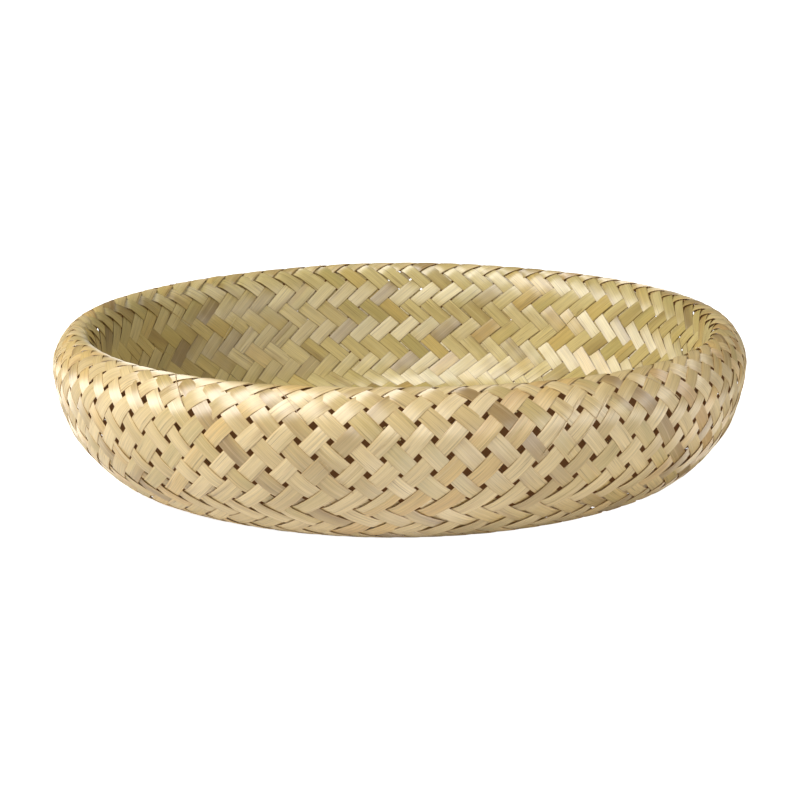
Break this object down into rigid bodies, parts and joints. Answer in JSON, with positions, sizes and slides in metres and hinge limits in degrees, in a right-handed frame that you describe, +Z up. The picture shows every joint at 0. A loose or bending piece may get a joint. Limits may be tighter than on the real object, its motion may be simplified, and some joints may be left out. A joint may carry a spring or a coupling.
{
  "type": "double-walled woven basket bowl",
  "caption": "Low round double-walled basket bowl plaited on the bias from flat pale strips, with a thick rolled rim, a bulging openwork outer wall and a close twill inner wall.",
  "frame": {"origin": "centre of the flat underside, on the surface that the basket rests on", "axes": "+Z up through the open mouth; the bowl is round about Z, so X and Y are alike"},
  "size_m": [0.3802, 0.3802, 0.0825],
  "materials": {
    "outer_strips": "split bamboo, satin",
    "inner_strips": "split bamboo, satin",
    "floor_strips": "split bamboo, satin"
  },
  "bodies": {
    "root": {"left_leaning_strips_01": "outer_strips", "left_leaning_strips_02": "outer_strips", "left_leaning_strips_03": "outer_strips", "left_leaning_strips_04": "outer_strips", "left_leaning_strips_05": "outer_strips", "left_leaning_strips_06": "outer_strips", "left_leaning_strips_07": "outer_strips", "left_leaning_strips_08": "outer_strips", "left_leaning_strips_09": "outer_strips", "left_leaning_strips_10": "outer_strips", "left_leaning_strips_11": "outer_strips", "left_leaning_strips_12": "outer_strips", "left_leaning_strips_13": "outer_strips", "left_leaning_strips_14": "outer_strips", "left_leaning_strips_15": "outer_strips", "left_leaning_strips_16": "outer_strips", "left_leaning_strips_17": "outer_strips", "left_leaning_strips_18": "outer_strips", "left_leaning_strips_19": "outer_strips", "right_leaning_strips_01": "inner_strips", "right_leaning_strips_02": "inner_strips", "right_leaning_strips_03": "inner_strips", "right_leaning_strips_04": "inner_strips", "right_leaning_strips_05": "inner_strips", "right_leaning_strips_06": "inner_strips", "right_leaning_strips_07": "inner_strips", "right_leaning_strips_08": "inner_strips", "right_leaning_strips_09": "inner_strips", "right_leaning_strips_10": "inner_strips", "right_leaning_strips_11": "inner_strips", "right_leaning_strips_12": "inner_strips", "right_leaning_strips_13": "inner_strips", "right_leaning_strips_14": "inner_strips", "right_leaning_strips_15": "inner_strips", "right_leaning_strips_16": "inner_strips", "right_leaning_strips_17": "inner_strips", "right_leaning_strips_18": "inner_strips", "right_leaning_strips_19": "inner_strips", "floor_strips_01": "floor_strips", "floor_strips_02": "floor_strips", "floor_strips_03": "floor_strips", "floor_strips_04": "floor_strips", "floor_strips_05": "floor_strips", "floor_strips_06": "floor_strips", "floor_strips_07": "floor_strips", "floor_strips_08": "floor_strips", "floor_strips_09": "floor_strips", "floor_strips_10": "floor_strips", "floor_strips_11": "floor_strips", "floor_strips_12": "floor_strips", "floor_strips_13": "floor_strips", "floor_strips_14": "floor_strips", "floor_strips_15": "floor_strips", "floor_strips_16": "floor_strips"}
  },
  "joints": []
}
